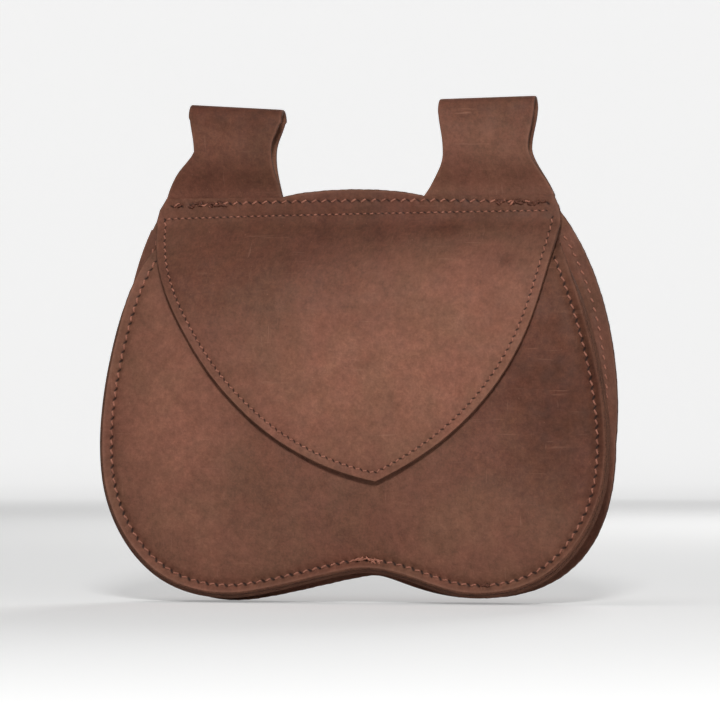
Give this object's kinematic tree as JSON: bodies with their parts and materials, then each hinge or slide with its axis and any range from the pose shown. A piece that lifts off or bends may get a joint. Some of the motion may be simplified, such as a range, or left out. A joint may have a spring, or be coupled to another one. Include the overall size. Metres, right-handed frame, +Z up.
{
  "type": "belt pouch",
  "caption": "Kidney-shaped leather belt pouch with a pointed lift-up flap, a sewn-in gusset and folded loops that slide on a belt.",
  "frame": {"origin": "on the belt's centre line, midway between the belt loops", "axes": "+X along the belt to the right as seen from the front, +Z up, the flap and front panel face -Y"},
  "size_m": [0.246, 0.036, 0.2405],
  "materials": {
    "leather": "oiled nubuck, matt with a soft waxy sheen",
    "gusset_leather": "oiled nubuck, matt",
    "lining_leather": "thin split leather, matt",
    "thread": "waxed bonded thread"
  },
  "bodies": {
    "pouch": {"back_panel": "leather", "front_panel": "leather", "gusset": "gusset_leather", "yoke": "leather", "left_loop_tail": "leather", "right_loop_tail": "leather", "front_seam_thread_left": "thread", "front_seam_thread_right": "thread", "front_seam_tack": "thread", "back_seam_thread_left": "thread", "back_seam_thread_right": "thread", "yoke_seam_thread": "thread", "left_end_tack": "thread", "right_end_tack": "thread", "fine_row_thread": "thread"},
    "flap": {"flap": "leather", "flap_lining": "lining_leather", "flap_thread_left": "thread", "flap_thread_right": "thread"},
    "left_loop": {"left_belt_loop": "leather"},
    "right_loop": {"right_belt_loop": "leather"}
  },
  "joints": [
    {"name": "flap_lift", "type": "hinge", "parent": "pouch", "child": "flap", "pos_m": [0, 0.002, -0.034], "axis": [-1, 0, 0], "range_deg": [0, 95]},
    {"name": "left_loop_flex", "type": "hinge", "parent": "pouch", "child": "left_loop", "pos_m": [-0.0628, 0.0045, -0.023], "axis": [1, 0, 0], "range_deg": [-25, 15], "stiffness_Nm_per_rad": 0.05},
    {"name": "right_loop_flex", "type": "hinge", "parent": "pouch", "child": "right_loop", "pos_m": [0.0628, 0.0045, -0.023], "axis": [1, 0, 0], "range_deg": [-25, 15], "stiffness_Nm_per_rad": 0.05}
  ]
}
